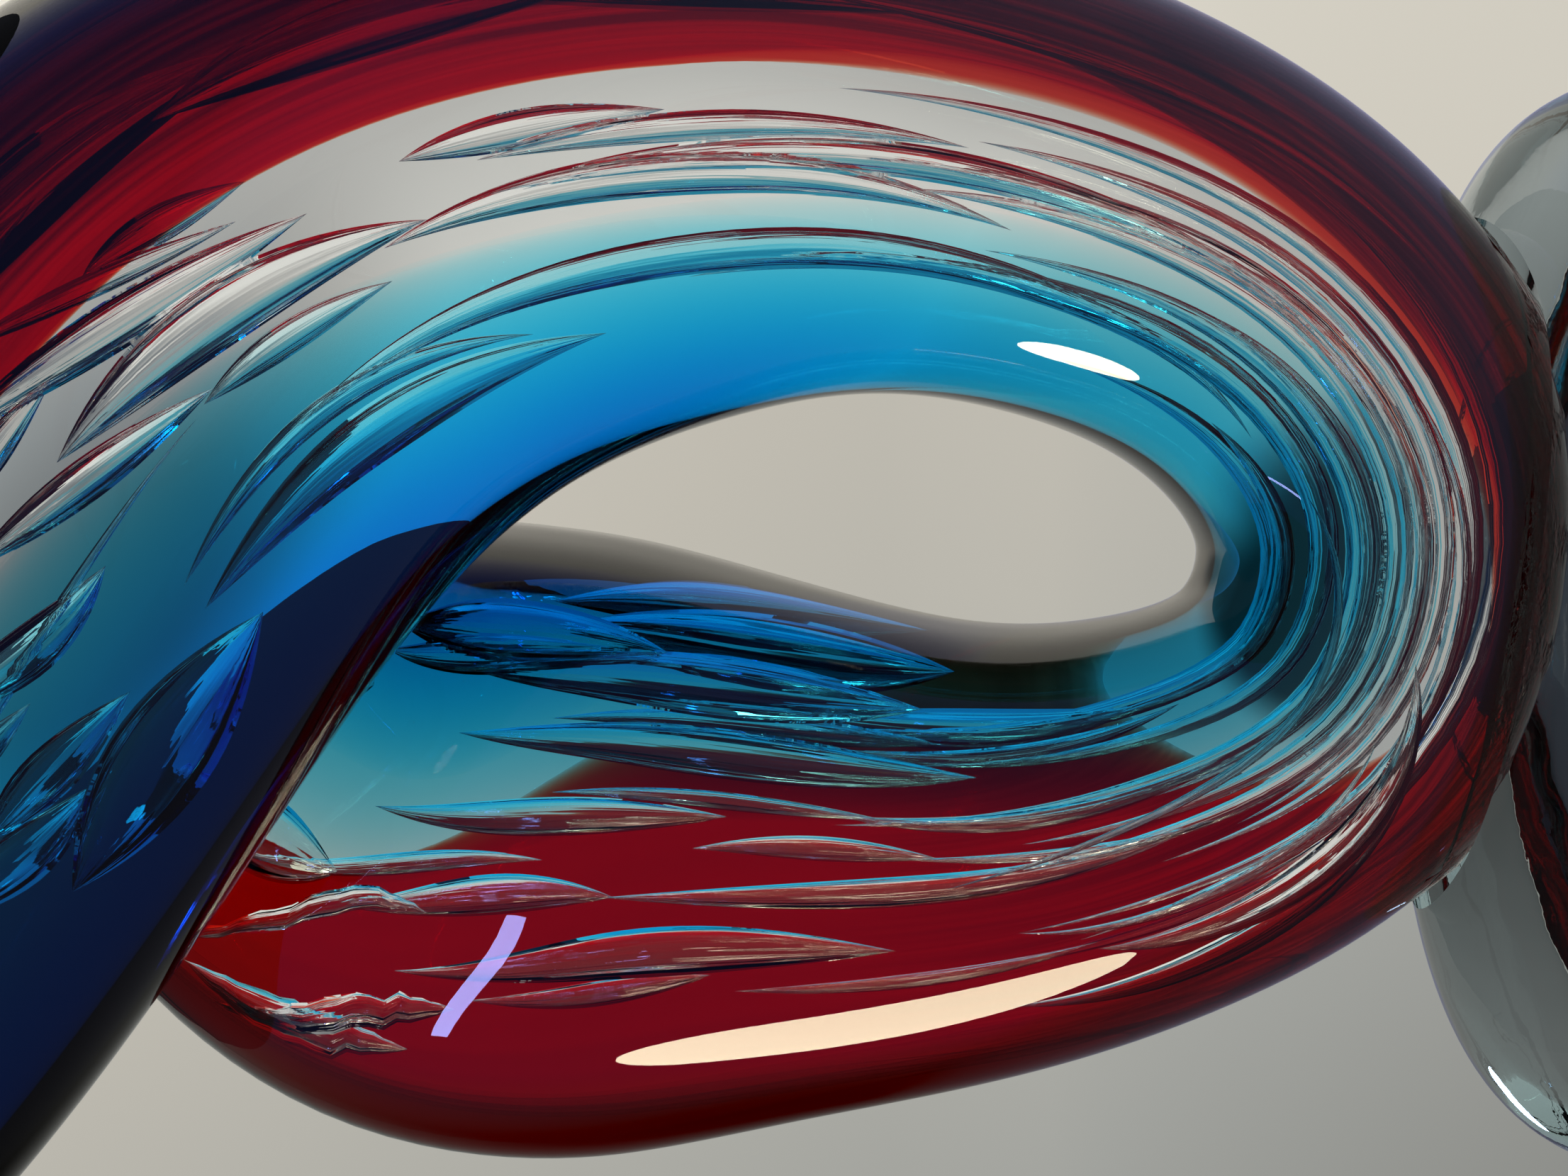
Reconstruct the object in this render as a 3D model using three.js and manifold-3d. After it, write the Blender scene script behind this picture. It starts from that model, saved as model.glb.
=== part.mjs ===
// A standing glass ribbon loop: one cased glass band bent into a loop with two crossing
// tails, its turn sunk into a clear glass base. Millimetres, +Z up, front towards -Y.
import * as THREE from "three";
import Module from "manifold-3d";

// Driving sizes of the band
const BAND_LIFT = 25; // floor to the lowest point of the loop
const BAND_SPREAD = 1; // size of the loop's path, as a factor
const BAND_THICKNESS = 1; // size of the band's section, as a factor
const CORE_SHARE = 0.62; // pricked core's half width over the band's
const TIP_LENGTH = 20; // length over which each tail rounds off
const TIP_FLAT = 0.36; // width left for the ground facet on each tip

// Driving sizes of the trapped bubbles
const BUBBLE_PITCH = 44; // spacing along the thick tails
const BUBBLE_REACH = 0.62; // half length over the spacing
const BUBBLE_DEPTH = 0.13; // depth over the band's half depth
const BUBBLE_MARGIN = 30; // bare glass at each tip
const BUBBLE_ROWS = 9; // rows round the section, before the bare part is left out
const BARE_FROM = 50; // the bare part, as angles round the section
const BARE_TO = 130;

// Driving sizes of the base and the fused seam
const BASE_HALF_WIDTH = 73;
const BASE_HALF_DEPTH = 45;
const BASE_HEIGHT = 49;
const BASE_WAIST = 12; // height at which the base is widest
const BASE_FOOT = 0.88; // ground underside over the widest outline
const SEAM_THICKNESS = 1.2;
const SEAM_PROUD = 1;
const GAP = 0.3; // clearance between neighbouring bodies

// The band's path from the front tail's tip, round the loop, to the rear tail's tip:
// x, y, height above the loop's lowest point, half width, half depth, roll, and then the
// colour layers' edges as angles round the section from the loop's outer side, negative
// towards the front: ruby's front and rear edges, aqua's rear and front edges.
const PATH = [
  [-92, -46, 308, 22, 17, -10, -72, 60, 99, -98], // front tip
  [-84, -45, 280, 31, 22, -14, -72, 60, 99, -98],
  [-66, -43, 250, 37, 25, -18, -73, 60, 99, -98],
  [0, -41, 194, 38, 26, -20, -73, 60, 99, -98], // front tail over the crossing
  [34, -36, 170, 39, 26, -19, -75, 60, 99, -101],
  [49.5, -29, 148, 37, 25, -16, -76, 60, 99, -100],
  [57.5, -21, 119.5, 33, 24.5, -11, -77, 60, 99, -102], // right side of the loop
  [58.5, -14, 94.5, 29.5, 24, -7, -78, 60, 99, -104],
  [53.5, -8, 68, 27.5, 23.5, -3, -79, 60, 99, -105],
  [39, -3, 40.5, 26, 23, 0, -84, 60, 98, -103],
  [13, 1, 25, 25, 23, 0, -81, 57, 98, -97], // turn on the base
  [-12, 5, 32, 25, 23, 5, -70, 61, 99, -100],
  [-26.5, 10, 54.5, 28, 23.5, 9, -57, 87, 104, -107],
  [-32.5, 16, 79, 33, 24, 12, -50, 93, 108, -111], // left side of the loop
  [-34, 22, 104, 40, 25, 15, -47, 95, 108, -111],
  [-34.5, 28, 131.5, 48, 26, 17, -44, 93, 105, -106],
  [-33, 33, 161.5, 48.5, 26, 17, -44, 76, 95, -94],
  [-19, 36, 188, 38, 25, 16, -46, 61, 90, -88], // rear tail behind the crossing
  [2, 38, 206, 28, 21, 15, -49, 57, 90, -88], // rear tip
];
const TURN_ROW = 10;

// Mesh fineness
const COLUMNS = { ruby: 12, rear: 3, aqua: 16, front: 5 };
const RING_STEP = 17.5;
const RING_STEP_TURN = 9;
const TURN_REACH = 85;
const TIP_RINGS = [0, 0.04, 0.12, 0.26, 0.5, 1];
const BASE_SIDES = 44;
const RAD = Math.PI / 180;
const DEPTH_AXIS = new THREE.Vector3(0, 1, 0);

// Natural cubic spline through the rows, by running length
function naturalSpline(lengths, values) {
  const last = values.length - 1;
  const bend = new Array(last + 1).fill(0);
  const weight = new Array(last + 1).fill(0);
  const right = new Array(last + 1).fill(0);
  for (let i = 1; i < last; i += 1) {
    const before = lengths[i] - lengths[i - 1];
    const after = lengths[i + 1] - lengths[i];
    const slopes = (values[i + 1] - values[i]) / after - (values[i] - values[i - 1]) / before;
    const pivot = 2 * (before + after) - before * weight[i - 1];
    weight[i] = after / pivot;
    right[i] = (6 * slopes - before * right[i - 1]) / pivot;
  }
  for (let i = last - 1; i > 0; i -= 1) {
    bend[i] = right[i] - weight[i] * bend[i + 1];
  }
  return (s) => {
    let i = 0;
    while (i < last - 1 && s > lengths[i + 1]) {
      i += 1;
    }
    const h = lengths[i + 1] - lengths[i];
    const p = (lengths[i + 1] - s) / h;
    const q = (s - lengths[i]) / h;
    const curve = ((p ** 3 - p) * bend[i] + (q ** 3 - q) * bend[i + 1]) * (h * h) / 6;
    return p * values[i] + q * values[i + 1] + curve;
  };
}

function bandPath() {
  const rows = PATH.map(([x, y, z, wide, deep, ...angles]) => [
    x * BAND_SPREAD,
    y * BAND_SPREAD,
    z * BAND_SPREAD,
    wide * BAND_THICKNESS,
    deep * BAND_THICKNESS,
    ...angles,
  ]);
  const lengths = [0];
  for (let i = 1; i < rows.length; i += 1) {
    const a = new THREE.Vector3(...rows[i - 1]);
    const b = new THREE.Vector3(...rows[i]);
    lengths.push(lengths[i - 1] + a.distanceTo(b));
  }
  const tracks = rows[0].map((_, k) => naturalSpline(lengths, rows.map((row) => row[k])));
  const total = lengths[lengths.length - 1];
  const at = (s) => new THREE.Vector3(tracks[0](s), tracks[1](s), tracks[2](s));
  const turn = rows[TURN_ROW];
  const drop = BAND_LIFT + turn[3] - turn[2];
  const station = (s) => {
    const inside = Math.min(Math.max(s, 0.5), total - 0.5);
    const along = at(inside + 0.5).sub(at(inside - 0.5)).normalize();
    const rear = DEPTH_AXIS.clone().addScaledVector(along, -DEPTH_AXIS.dot(along)).normalize();
    const outer = along.clone().cross(rear);
    const roll = tracks[5](s) * RAD;
    const wideAxis = outer.clone().multiplyScalar(Math.cos(roll));
    wideAxis.addScaledVector(rear, Math.sin(roll));
    const deepAxis = rear.clone().multiplyScalar(Math.cos(roll));
    deepAxis.addScaledVector(outer, -Math.sin(roll));
    const reach = Math.min(1, Math.min(s, total - s) / TIP_LENGTH);
    const close = Math.sqrt(1 - (1 - reach) ** 2 * (1 - TIP_FLAT ** 2));
    const centre = at(s);
    centre.z += drop;
    return {
      s,
      centre,
      wideAxis,
      deepAxis,
      wide: tracks[3](s) * close,
      deep: tracks[4](s) * close,
      edges: [tracks[6](s), tracks[7](s), tracks[8](s), tracks[9](s) + 360, tracks[6](s) + 360],
    };
  };
  return { total, turnAt: lengths[TURN_ROW], station };
}

// Ring positions: close together at the tips and round the turn
function ringPlaces(path) {
  const places = TIP_RINGS.map((share) => share * TIP_LENGTH);
  const end = path.total - TIP_LENGTH;
  let s = TIP_LENGTH;
  while (s < end) {
    const near = Math.exp(-(((s - path.turnAt) / TURN_REACH) ** 2));
    s += RING_STEP + (RING_STEP_TURN - RING_STEP) * near;
    if (s < end - RING_STEP_TURN / 2) {
      places.push(s);
    }
  }
  for (const share of TIP_RINGS.slice().reverse()) {
    places.push(path.total - share * TIP_LENGTH);
  }
  return places;
}

// Column angles round the section, starting at the ruby layer's front edge
function columnAngles({ edges }) {
  const counts = [COLUMNS.ruby, COLUMNS.rear, COLUMNS.aqua, COLUMNS.front];
  const angles = [];
  counts.forEach((count, k) => {
    for (let i = 0; i < count; i += 1) {
      angles.push((edges[k] + (edges[k + 1] - edges[k]) * (i / count)) * RAD);
    }
  });
  return angles;
}

function onSection(place, wide, deep, angle) {
  const point = place.centre.clone().addScaledVector(place.wideAxis, wide * Math.cos(angle));
  return point.addScaledVector(place.deepAxis, deep * Math.sin(angle));
}

// Triangles between rings of equal length, with fans or ladders over the two ends. A ladder
// ring runs out along the outside and back along the inside, where the diagonals turn over,
// so that neighbouring bodies keep the same creases.
function skin(rings, ladder) {
  const count = rings[0].length;
  const turnsOver = ladder ? count / 2 : count;
  const points = rings.flat();
  const faces = [];
  for (let r = 0; r + 1 < rings.length; r += 1) {
    for (let k = 0; k < count; k += 1) {
      const next = (k + 1) % count;
      const a = r * count + k;
      const b = r * count + next;
      if (k < turnsOver) {
        faces.push([a, b, b + count], [a, b + count, a + count]);
      } else {
        faces.push([a, b, a + count], [b, b + count, a + count]);
      }
    }
  }
  const last = (rings.length - 1) * count;
  if (ladder) {
    for (let k = 0; k + 1 < count / 2; k += 1) {
      const far = count - 1 - k;
      faces.push([k, far, k + 1], [k + 1, far, far - 1]);
      faces.push([last + k, last + k + 1, last + far], [last + k + 1, last + far - 1, last + far]);
    }
  } else {
    for (let k = 1; k + 1 < count; k += 1) {
      faces.push([0, k + 1, k], [last, last + k, last + k + 1]);
    }
  }
  return { points, faces };
}

function solidVolume({ points, faces }) {
  let volume = 0;
  for (const [a, b, c] of faces) {
    volume += points[a].dot(points[b].clone().cross(points[c])) / 6;
  }
  return volume;
}

function facingOut(shape) {
  if (solidVolume(shape) < 0) {
    shape.faces = shape.faces.map(([a, b, c]) => [a, c, b]);
  }
  return shape;
}

function nodeMesh(name, { points, faces }, colour, opacity) {
  const geometry = new THREE.BufferGeometry();
  const flat = points.flatMap((p) => [p.x, p.y, p.z]);
  geometry.setAttribute("position", new THREE.Float32BufferAttribute(flat, 3));
  geometry.setIndex(faces.flat());
  geometry.computeVertexNormals();
  const material = new THREE.MeshStandardMaterial({ color: colour, roughness: 0.05, metalness: 0 });
  material.transparent = opacity < 1;
  material.opacity = opacity;
  material.name = name;
  const mesh = new THREE.Mesh(geometry, material);
  mesh.name = name;
  return mesh;
}

// Bubble rows: glass drawn thin carries longer bubbles, and the rear's middle has none
function bubbleRows(path) {
  const thick = path.station(path.total * 0.2);
  const rows = [];
  let s = BUBBLE_MARGIN;
  for (;;) {
    const here = path.station(s);
    const pitch = BUBBLE_PITCH * (thick.wide * thick.deep) / (here.wide * here.deep);
    const clamped = Math.min(pitch, BUBBLE_PITCH * 2.2);
    if (s + clamped > path.total - BUBBLE_MARGIN) {
      return rows;
    }
    rows.push({ centre: s + clamped / 2, half: clamped * BUBBLE_REACH });
    s += clamped * 0.62;
  }
}

function dimple(rows, s, column, columns) {
  let depth = 0;
  rows.forEach((row, i) => {
    const along = (s - row.centre) / row.half;
    const taper = 1 - along * along;
    if (taper <= 0) {
      return;
    }
    const period = columns / BUBBLE_ROWS;
    const offset = (((column - (i % 2) * period * 0.5) % period) + period) % period;
    const across = Math.min(offset, period - offset) / 1.45;
    const left = 1 - (across / taper) ** 2;
    depth = Math.max(depth, taper * Math.max(0, left));
  });
  return depth;
}

function clearCore(path, places) {
  const rows = bubbleRows(path);
  const rings = places.map((s) => {
    const place = path.station(s);
    const angles = columnAngles(place);
    return angles.map((angle, column) => {
      const bare = angle > BARE_FROM * RAD && angle < BARE_TO * RAD;
      const cut = bare ? 0 : BUBBLE_DEPTH * place.deep * dimple(rows, s, column, angles.length);
      const wide = place.wide * CORE_SHARE - cut;
      const deep = place.deep * CORE_SHARE - cut;
      return onSection(place, wide, deep, angle);
    });
  });
  return facingOut(skin(rings, false));
}

// One covering strip over a run of columns, with a clearance to the core and its neighbours
function strip(path, places, first, count) {
  const rings = places.map((s) => {
    const place = path.station(s);
    const angles = columnAngles(place);
    const turned = angles.concat(angles.map((angle) => angle + 2 * Math.PI));
    const run = turned.slice(first, first + count + 1);
    const inner = run.slice();
    const smallest = Math.min(place.wide, place.deep);
    run[0] += GAP * 0.5 / smallest;
    run[count] -= GAP * 0.5 / smallest;
    inner[0] += GAP * 0.5 / (smallest * CORE_SHARE);
    inner[count] -= GAP * 0.5 / (smallest * CORE_SHARE);
    const outside = run.map((angle) => onSection(place, place.wide, place.deep, angle));
    const coreWide = place.wide * CORE_SHARE + GAP;
    const coreDeep = place.deep * CORE_SHARE + GAP;
    const inside = inner.map((angle) => onSection(place, coreWide, coreDeep, angle));
    return outside.concat(inside.reverse());
  });
  return facingOut(skin(rings, true));
}

// The band's full section grown by a clearance, round the turn only
function grownBand(path, places, grow) {
  const near = places.filter((s) => Math.abs(s - path.turnAt) < BASE_HALF_WIDTH + BASE_HEIGHT);
  const rings = near.map((s) => {
    const place = path.station(s);
    const angles = columnAngles(place);
    return angles.map((angle) => onSection(place, place.wide + grow, place.deep + grow, angle));
  });
  return facingOut(skin(rings, false));
}

// The base as stacked rings: broad rounded shoulders, tented flanks, ground underside
function baseBlock(grow) {
  const levels = [];
  const rise = BASE_HEIGHT - BASE_WAIST;
  for (let i = 0; i <= 5; i += 1) {
    const t = i / 5;
    const round = BASE_FOOT + (1 - BASE_FOOT) * Math.sin(t * Math.PI / 2);
    levels.push({ z: BASE_WAIST * t * t, wide: BASE_HALF_WIDTH * round, deep: BASE_HALF_DEPTH * round });
  }
  for (let i = 1; i <= 12; i += 1) {
    const t = Math.sin(i / 12.5 * Math.PI / 2);
    levels.push({
      z: BASE_WAIST + rise * t,
      wide: BASE_HALF_WIDTH * (1 - t ** 2.9) ** (1 / 2.3),
      deep: BASE_HALF_DEPTH * (1 - t ** 1.7) ** (1 / 1.35),
    });
  }
  const rings = levels.map(({ z, wide, deep }, k) => {
    const ring = [];
    for (let i = 0; i < BASE_SIDES; i += 1) {
      const angle = i / BASE_SIDES * 2 * Math.PI;
      const x = (wide + grow) * Math.cos(angle);
      const y = (deep + grow) * Math.sin(angle);
      ring.push(new THREE.Vector3(x, y, k === 0 ? 0 : z + grow * 0.8));
    }
    return ring;
  });
  return facingOut(skin(rings, false));
}

const wasm = await Module();
wasm.setup();

function toManifold({ points, faces }) {
  const vertProperties = new Float32Array(points.flatMap((p) => [p.x, p.y, p.z]));
  const triVerts = new Uint32Array(faces.flat());
  return new wasm.Manifold(new wasm.Mesh({ numProp: 3, vertProperties, triVerts }));
}

function fromManifold(solid) {
  const pieces = solid.decompose();
  pieces.sort((a, b) => b.volume() - a.volume());
  const mesh = pieces[0].getMesh();
  const points = [];
  for (let i = 0; i < mesh.vertProperties.length; i += mesh.numProp) {
    points.push(new THREE.Vector3(...mesh.vertProperties.slice(i, i + 3)));
  }
  const faces = [];
  for (let i = 0; i < mesh.triVerts.length; i += 3) {
    faces.push(Array.from(mesh.triVerts.slice(i, i + 3)));
  }
  return { points, faces };
}

const path = bandPath();
const places = ringPlaces(path);
const { ruby, rear, aqua, front } = COLUMNS;

const block = toManifold(baseBlock(0));
const blockProud = toManifold(baseBlock(SEAM_PROUD));
const seamInside = toManifold(grownBand(path, places, GAP));
const seamOutside = toManifold(grownBand(path, places, GAP + SEAM_THICKNESS));
const trough = toManifold(grownBand(path, places, 2 * GAP + SEAM_THICKNESS));
const base = block.subtract(trough);
const seam = seamOutside.subtract(seamInside).intersect(blockProud);

const sculpture = new THREE.Group();
sculpture.name = "glass_ribbon_loop";
sculpture.add(nodeMesh("clear_core", clearCore(path, places), "#e6eef0", 0.35));
sculpture.add(nodeMesh("ruby_overlay", strip(path, places, 0, ruby), "#a00618", 0.6));
sculpture.add(nodeMesh("rear_cover", strip(path, places, ruby, rear), "#e6eef0", 0.35));
sculpture.add(nodeMesh("aqua_overlay", strip(path, places, ruby + rear, aqua), "#0a86c4", 0.6));
sculpture.add(nodeMesh("front_cover", strip(path, places, ruby + rear + aqua, front), "#e6eef0", 0.35));
sculpture.add(nodeMesh("clear_base", fromManifold(base), "#dfe7ea", 0.35));
sculpture.add(nodeMesh("fused_seam", fromManifold(seam), "#f4f6f4", 0.5));

export default sculpture;
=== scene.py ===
# %% [markdown]
# A glass ribbon loop, dressed for rendering
#
# The object is one thick band of hot-worked glass, bent into a loop with two crossing
# tails and set into a clear glass base. Its clear core was pricked to trap rows of long
# air bubbles, then covered with ruby on the loop's outer side, aqua on its inner side
# and clear glass between. We load the exact solids first, and then build the smooth
# glass over them, in metres and in the same frame.

# %% Load the fixed frame
import bpy
import bmesh
import math
import numpy as np
from mathutils import Matrix, Vector


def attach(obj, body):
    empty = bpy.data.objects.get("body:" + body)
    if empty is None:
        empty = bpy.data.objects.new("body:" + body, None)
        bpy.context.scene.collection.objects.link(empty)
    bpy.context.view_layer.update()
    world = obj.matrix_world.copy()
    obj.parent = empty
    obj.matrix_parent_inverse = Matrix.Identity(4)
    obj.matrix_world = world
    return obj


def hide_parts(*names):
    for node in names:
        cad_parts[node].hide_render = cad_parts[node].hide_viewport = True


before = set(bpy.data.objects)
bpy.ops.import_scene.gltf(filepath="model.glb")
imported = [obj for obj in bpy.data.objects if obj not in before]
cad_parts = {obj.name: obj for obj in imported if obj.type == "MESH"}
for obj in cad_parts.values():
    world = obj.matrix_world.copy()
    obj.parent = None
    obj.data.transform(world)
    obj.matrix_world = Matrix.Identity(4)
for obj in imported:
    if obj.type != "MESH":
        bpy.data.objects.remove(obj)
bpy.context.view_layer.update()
MM = 0.001
print("solids:", sorted(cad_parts))

# %% [markdown]
# The band's path
#
# A glassworker pulls the band into its loop, so it is thin at the turn and thick in the
# tails. Each row below is one station: x, y and height of the band's middle, its half
# width and half depth, its roll, and the angles round the section at which the ruby and
# the aqua begin and end, all in millimetres and degrees. The stations were first set over
# the photograph. For all but the first three and the last, a separate script then fitted
# x, height and half width to its outline by least squares, and the results stand here
# rounded. A natural cubic spline through the rows has no kinks, which matters because
# clear glass magnifies every flaw.

# %% Stations along the band
BAND_LIFT = 25
TIP_LENGTH = 20
TIP_FLAT = 0.36
TURN_ROW = 10
PATH = np.array([
    [-92, -46, 308, 22, 17, -10, -72, 60, 86, -86],
    [-84, -45, 280, 31, 22, -14, -72, 60, 86, -86],
    [-66, -43, 250, 37, 25, -18, -73, 60, 86, -86],
    [0, -41, 194, 38, 26, -20, -73, 60, 86, -86],
    [34, -36, 170, 39, 26, -19, -75, 60, 93, -94],
    [49.5, -29, 148, 37, 25, -16, -76, 60, 98, -99],
    [57.5, -21, 119.5, 33, 24.5, -11, -77, 60, 99, -102],
    [58.5, -14, 94.5, 29.5, 24, -7, -78, 60, 99, -104],
    [53.5, -8, 68, 27.5, 23.5, -3, -79, 60, 99, -105],
    [39, -3, 40.5, 26, 23, 0, -84, 60, 98, -103],
    [13, 1, 25, 25, 23, 0, -81, 57, 98, -97],
    [-12, 5, 32, 25, 23, 5, -70, 61, 99, -100],
    [-26.5, 10, 54.5, 28, 23.5, 9, -57, 92, 105, -107],
    [-32.5, 16, 79, 33, 24, 12, -50, 104, 110, -111],
    [-34, 22, 104, 40, 25, 15, -47, 107, 111, -111],
    [-34.5, 28, 131.5, 48, 26, 17, -44, 101, 107, -106],
    [-33, 33, 161.5, 48.5, 26, 17, -44, 84, 95, -94],
    [-19, 36, 188, 38, 25, 16, -46, 61, 90, -88],
    [2, 38, 206, 28, 21, 15, -49, 57, 90, -88],
], float)


def spline_through(lengths, values):
    """Natural cubic spline through the rows of values, by running length."""
    count = len(lengths)
    gaps = np.diff(lengths)
    slopes = np.diff(values, axis=0) / gaps[:, None]
    system = np.eye(count)
    right = np.zeros_like(values)
    for i in range(1, count - 1):
        system[i, i - 1:i + 2] = gaps[i - 1], 2 * (gaps[i - 1] + gaps[i]), gaps[i]
        right[i] = 6 * (slopes[i] - slopes[i - 1])
    bend = np.linalg.solve(system, right)

    def at(s):
        s = np.asarray(s, float)
        i = np.clip(np.searchsorted(lengths, s) - 1, 0, count - 2)
        h = gaps[i]
        p = (lengths[i + 1] - s) / h
        q = (s - lengths[i]) / h
        curve = ((p ** 3 - p)[..., None] * bend[i] + (q ** 3 - q)[..., None] * bend[i + 1])
        straight = p[..., None] * values[i] + q[..., None] * values[i + 1]
        return straight + curve * (h * h / 6)[..., None]

    return at


steps = np.linalg.norm(np.diff(PATH[:, :3], axis=0), axis=1)
LENGTHS = np.concatenate([[0], np.cumsum(steps)])
TOTAL = LENGTHS[-1]
TURN_AT = LENGTHS[TURN_ROW]
DROP = BAND_LIFT + PATH[TURN_ROW, 3] - PATH[TURN_ROW, 2]
track = spline_through(LENGTHS, PATH)
print("band length, mm:", round(TOTAL, 1))


# %% Frames along the band
HALF_STEP = 0.5


def frames(s):
    """Centres, wide and deep axes, half sizes and layer edges at the lengths s."""
    s = np.asarray(s, float)
    inside = np.clip(s, HALF_STEP, TOTAL - HALF_STEP)
    along = track(inside + HALF_STEP)[..., :3] - track(inside - HALF_STEP)[..., :3]
    along /= np.linalg.norm(along, axis=-1, keepdims=True)
    rear = np.array([0.0, 1.0, 0.0]) - along * along[..., 1:2]
    rear /= np.linalg.norm(rear, axis=-1, keepdims=True)
    outer = np.cross(along, rear)
    values = track(s)
    roll = np.radians(values[..., 5:6])
    wide_axis = outer * np.cos(roll) + rear * np.sin(roll)
    deep_axis = rear * np.cos(roll) - outer * np.sin(roll)
    reach = np.clip(np.minimum(s, TOTAL - s) / TIP_LENGTH, 0, 1)
    close = np.sqrt(1 - (1 - reach) ** 2 * (1 - TIP_FLAT ** 2))
    centre = values[..., :3] + np.array([0, 0, DROP])
    front, back, begin, end = (values[..., k] for k in (6, 7, 8, 9))
    edges = np.radians(np.stack([front, back, begin, end + 360, front + 360], -1))
    return centre, wide_axis, deep_axis, values[..., 3] * close, values[..., 4] * close, edges


print("the turn lies at, mm:", round(TURN_AT, 1), "of", round(TOTAL, 1))

# %% [markdown]
# The section
#
# A tail is an ellipse in section. Where the band was bent into its loop the soft glass
# bulged, so the section is fuller there, like a superellipse. The power of that curve
# rises along the band. This matters for the look: the boxier section bends the light
# into the aqua, which keeps the rim of the loop's eye blue.

# %% Points of the section
TAIL_POWER = 2.0
LOOP_POWER = 2.35
REAR_POWER = 2.6
LOOP_FROM, LOOP_FULL = 185, 262
REAR_FROM, REAR_FULL = 400, 470


def smooth_step(value, start, end):
    """0 before start, 1 after end and a soft rise between."""
    x = np.clip((value - start) / (end - start), 0, 1)
    return x * x * (3 - 2 * x)


def fullness(s, angle, share):
    """How far the section swells past an ellipse between its axes, less so inside it."""
    s = np.asarray(s, float)
    power = TAIL_POWER + (LOOP_POWER - TAIL_POWER) * smooth_step(s, LOOP_FROM, LOOP_FULL)
    power = power + (REAR_POWER - LOOP_POWER) * smooth_step(s, REAR_FROM, REAR_FULL)
    swell = (np.abs(np.cos(angle)) ** power + np.abs(np.sin(angle)) ** power) ** (-1 / power)
    return 1 + (swell - 1) * share ** 2


def section_points(s, angle, share, grow=0.0):
    """Points in metres at length s, angle round the section and share of its half sizes."""
    centre, wide_axis, deep_axis, wide, deep, _ = frames(s)
    full = fullness(s, angle, share)
    along_wide = ((wide * share * full + grow) * np.cos(angle))[..., None] * wide_axis
    along_deep = ((deep * share * full + grow) * np.sin(angle))[..., None] * deep_axis
    return (centre + along_wide + along_deep) * MM


print("swell at the section's corners, front limb and rear limb:",
      [round(float(fullness(s, math.pi / 4, 1.0)), 3) for s in (LOOP_FULL, REAR_FULL)])

# %% [markdown]
# Colour layers
#
# Seen in section, the ruby is a crescent with a blunt edge on the loop's outer side. Its
# edge is a thin lip, which widens round the turn and shows there as an orange line. The
# aqua is a crescent that thins to nothing towards its edges, which is why it fades.
# Between them the clear glass comes through to the surface. Each colour is a closed
# piece. The faces that two pieces share carry a mask, so that light goes straight
# through them, as it does where two glasses are fused.

# %% Thickness of the ruby
SKIN_THINNEST = 0.006
RUBY_DEPTH = 0.26
RUBY_LIP = 0.11
LIP_WIDTH, LIP_WIDER = 0.008, 0.026
FULL_FROM, FULL_FROM_WIDER = 0.01, 0.035
FULL_AT, FULL_AT_WIDER = 0.05, 0.06
WIDE_LIP_RISE = (235, 290)
WIDE_LIP_FALL = (385, 430)
FOLD_DEPTH = 0.05
FOLD_WAVES = [(37, 1.0), (83, 0.0)]


def ruby_inner(t, s):
    """Inner share of the ruby crescent, t from 0 to 1 across it: a lip, then full depth."""
    wide_lip = smooth_step(s, *WIDE_LIP_RISE) * (1 - smooth_step(s, *WIDE_LIP_FALL))
    from_edge = np.minimum(t, 1 - t)
    lip = RUBY_LIP * np.clip(from_edge / (LIP_WIDTH + LIP_WIDER * wide_lip), 0, 1)
    full_from = FULL_FROM + FULL_FROM_WIDER * wide_lip
    full_at = FULL_AT + FULL_AT_WIDER * wide_lip
    full = smooth_step(from_edge, full_from, full_at)
    folds = 1 + sum(FOLD_DEPTH * np.sin(waves * t + phase) for waves, phase in FOLD_WAVES)
    return 1 - (SKIN_THINNEST + lip + (RUBY_DEPTH - RUBY_LIP) * full * folds)


middle_share = float(ruby_inner(np.array(0.5), np.array(TURN_AT)))
print("ruby reaches in to this share of the half size at the turn:", round(middle_share, 3))

# %% Thickness of the aqua
AQUA_DEPTH = 0.25
AQUA_MIDDLE_LOSS = 0.5
AQUA_MIDDLE_WIDTH = 0.16
AQUA_TAIL_GAIN = 0.45
AQUA_TAIL_END = (150, 215)
AQUA_EDGE_POWER = 0.8


def aqua_inner(t, s):
    """Inner share of the aqua crescent: nothing at its edges, and shallow in its middle."""
    shallow = 1 - AQUA_MIDDLE_LOSS * np.exp(-(((t - 0.5) / AQUA_MIDDLE_WIDTH) ** 2))
    deeper = 1 + AQUA_TAIL_GAIN * (1 - smooth_step(s, *AQUA_TAIL_END))
    return 1 - (SKIN_THINNEST + AQUA_DEPTH * deeper * np.sin(np.pi * t) ** AQUA_EDGE_POWER * shallow)


middle_share = float(aqua_inner(np.array(0.5), np.array(TURN_AT)))
print("aqua reaches in to this share of the half size at the turn:", round(middle_share, 3))

# %% Fineness of the layers
RUBY_COLUMNS = 96
REAR_COLUMNS = 10
AQUA_COLUMNS = 72
FRONT_COLUMNS = 22
SKIN_GAP = 0.01
MEAN_RADIUS = 30
TIP_RINGS = 15
TURN_SPREAD = 95
STEP_FAR = 3.0
STEP_NEAR = 1.8


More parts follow.
